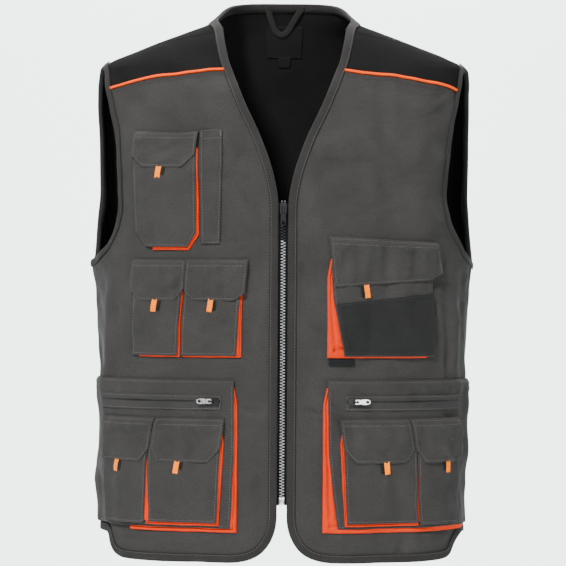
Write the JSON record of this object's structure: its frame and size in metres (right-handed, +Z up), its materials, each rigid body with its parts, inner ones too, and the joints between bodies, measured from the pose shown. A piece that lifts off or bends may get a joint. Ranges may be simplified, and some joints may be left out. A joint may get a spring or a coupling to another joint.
{
  "type": "work vest",
  "caption": "Sleeveless zip-front work vest with a V neck, flap pockets on the chest, bellows pockets at the hem, bound edges and a hanger loop, shown as worn.",
  "frame": {"origin": "mid-width and mid-depth of the vest at the height of the shoulders' highest seam point, where it hangs on the wearer", "axes": "+Z up along the vest, -Y towards its front, +X towards the right of the picture"},
  "size_m": [0.492, 0.2405, 0.7195],
  "materials": {
    "grey_cloth": "matt twill",
    "black_cloth": "matt twill",
    "patch_cloth": "coarse reinforced weave",
    "binding": "folded twill tape",
    "orange_cloth": "matt cloth",
    "webbing": "narrow woven tape",
    "zip_tape": "woven tape",
    "label_cloth": "smooth woven satin",
    "zip_metal": "satin",
    "dark_metal": "dark satin"
  },
  "bodies": {
    "vest": {"front_panel_left": "grey_cloth", "front_yoke_left": "black_cloth", "piping_left": "orange_cloth", "front_panel_right": "grey_cloth", "front_yoke_right": "black_cloth", "piping_right": "orange_cloth", "back_yoke": "black_cloth", "back_panel": "black_cloth", "edge_band": "binding", "armhole_band_right": "binding", "armhole_band_left": "binding", "zip_tape": "zip_tape", "zip_teeth": "zip_metal", "zip_slider": "dark_metal", "neck_label": "label_cloth", "hanger_loop": "webbing", "phone_pocket_front": "grey_cloth", "phone_pocket_gusset": "orange_cloth", "phone_pocket_flap": "grey_cloth", "phone_pocket_tab": "webbing", "pen_pocket": "grey_cloth", "double_pocket_front_a": "grey_cloth", "double_pocket_gusset_a": "orange_cloth", "double_pocket_flap_a": "grey_cloth", "double_pocket_tab_a": "webbing", "double_pocket_front_b": "grey_cloth", "double_pocket_gusset_b": "orange_cloth", "double_pocket_flap_b": "grey_cloth", "double_pocket_tab_b": "webbing", "chest_pocket_front": "grey_cloth", "chest_pocket_patch": "patch_cloth", "chest_pocket_gusset": "orange_cloth", "chest_pocket_flap": "grey_cloth", "chest_pocket_tab": "webbing", "side_label": "label_cloth", "cargo_left_front": "grey_cloth", "cargo_left_gusset": "orange_cloth", "cargo_left_zip_track": "zip_tape", "cargo_left_zip_slider": "zip_metal", "cargo_left_small_front_a": "grey_cloth", "cargo_left_flap_a": "grey_cloth", "cargo_left_tab_a": "webbing", "cargo_left_small_front_b": "grey_cloth", "cargo_left_flap_b": "grey_cloth", "cargo_left_tab_b": "webbing", "cargo_left_small_gusset": "orange_cloth", "cargo_right_front": "grey_cloth", "cargo_right_gusset": "orange_cloth", "cargo_right_zip_track": "zip_tape", "cargo_right_zip_slider": "zip_metal", "cargo_right_small_front_a": "grey_cloth", "cargo_right_flap_a": "grey_cloth", "cargo_right_tab_a": "webbing", "cargo_right_small_front_b": "grey_cloth", "cargo_right_flap_b": "grey_cloth", "cargo_right_tab_b": "webbing", "cargo_right_small_gusset": "orange_cloth"},
    "main_pull": {"zip_pull": "dark_metal"},
    "left_cargo_pull": {"cargo_left_zip_pull": "zip_metal"},
    "right_cargo_pull": {"cargo_right_zip_pull": "zip_metal"}
  },
  "joints": [
    {"name": "main_pull_swing", "type": "hinge", "parent": "vest", "child": "main_pull", "pos_m": [0, -0.12329, -0.25736], "axis": [-1, 0, 0], "range_deg": [0, 170]},
    {"name": "left_cargo_pull_swing", "type": "hinge", "parent": "vest", "child": "left_cargo_pull", "pos_m": [-0.08935, -0.12566, -0.49523], "axis": [0, -0.0029, 1], "range_deg": [0, 170]},
    {"name": "right_cargo_pull_swing", "type": "hinge", "parent": "vest", "child": "right_cargo_pull", "pos_m": [0.09218, -0.12521, -0.49523], "axis": [0, 0.003, -1], "range_deg": [0, 170]}
  ]
}
